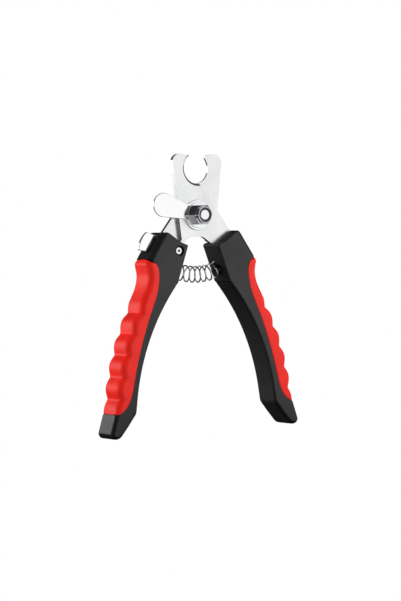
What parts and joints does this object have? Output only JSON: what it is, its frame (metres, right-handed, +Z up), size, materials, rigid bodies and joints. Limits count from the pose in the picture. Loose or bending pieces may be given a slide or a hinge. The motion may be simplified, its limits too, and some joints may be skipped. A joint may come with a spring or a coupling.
{
  "type": "pet nail clipper",
  "caption": "Plier-type pet nail clipper: crossed stamped blades with round notches, rubber-gripped handles, swinging safety guard, lock lever and bowed return spring.",
  "frame": {"origin": "centre of the bounding box's base, at the height of the handle tips the open clipper stands on", "axes": "+Z up towards the jaws, +X to the right seen from the nut side, +Y to the back, along the pivot bolt"},
  "size_m": [0.1188, 0.0178, 0.1458],
  "materials": {
    "blade_steel": "fine brushed stainless, ground cutting bevel",
    "guard_steel": "polished",
    "bolt_steel": "bright turned",
    "washer_steel": "satin",
    "nut_plating": "bright zinc plate",
    "nylon": "plain",
    "handle_plastic": "fine moulded texture",
    "grip_rubber": "satin soft-touch",
    "lever_steel": "polished",
    "rivet_steel": "bright",
    "spring_steel": "drawn wire"
  },
  "bodies": {
    "left_lever": {"rear_blade": "blade_steel", "left_handle": "handle_plastic", "left_grip": "grip_rubber", "pivot_bolt": "bolt_steel", "nut_washer": "washer_steel", "lock_nut": "nut_plating", "nut_insert": "nylon", "lock_rivet": "rivet_steel", "return_spring": "spring_steel"},
    "right_lever": {"front_blade": "blade_steel", "right_handle": "handle_plastic", "right_grip": "grip_rubber"},
    "guard": {"safety_guard": "guard_steel"},
    "lock": {"lock_lever": "lever_steel"}
  },
  "joints": [
    {"name": "lever_hinge", "type": "hinge", "parent": "left_lever", "child": "right_lever", "pos_m": [0, 0.0011, 0.1136], "axis": [0, 1, 0], "range_deg": [0, 40], "stiffness_Nm_per_rad": 0.4, "springref_deg": -17.19, "deforming": ["return_spring"]},
    {"name": "guard_pivot", "type": "hinge", "parent": "left_lever", "child": "guard", "pos_m": [0, 0.0011, 0.1136], "axis": [0, 1, 0], "range_deg": [-10, 80]},
    {"name": "lock_pivot", "type": "hinge", "parent": "left_lever", "child": "lock", "pos_m": [-0.015, 0.0011, 0.0952], "axis": [0, 1, 0], "range_deg": [0, 18]}
  ]
}
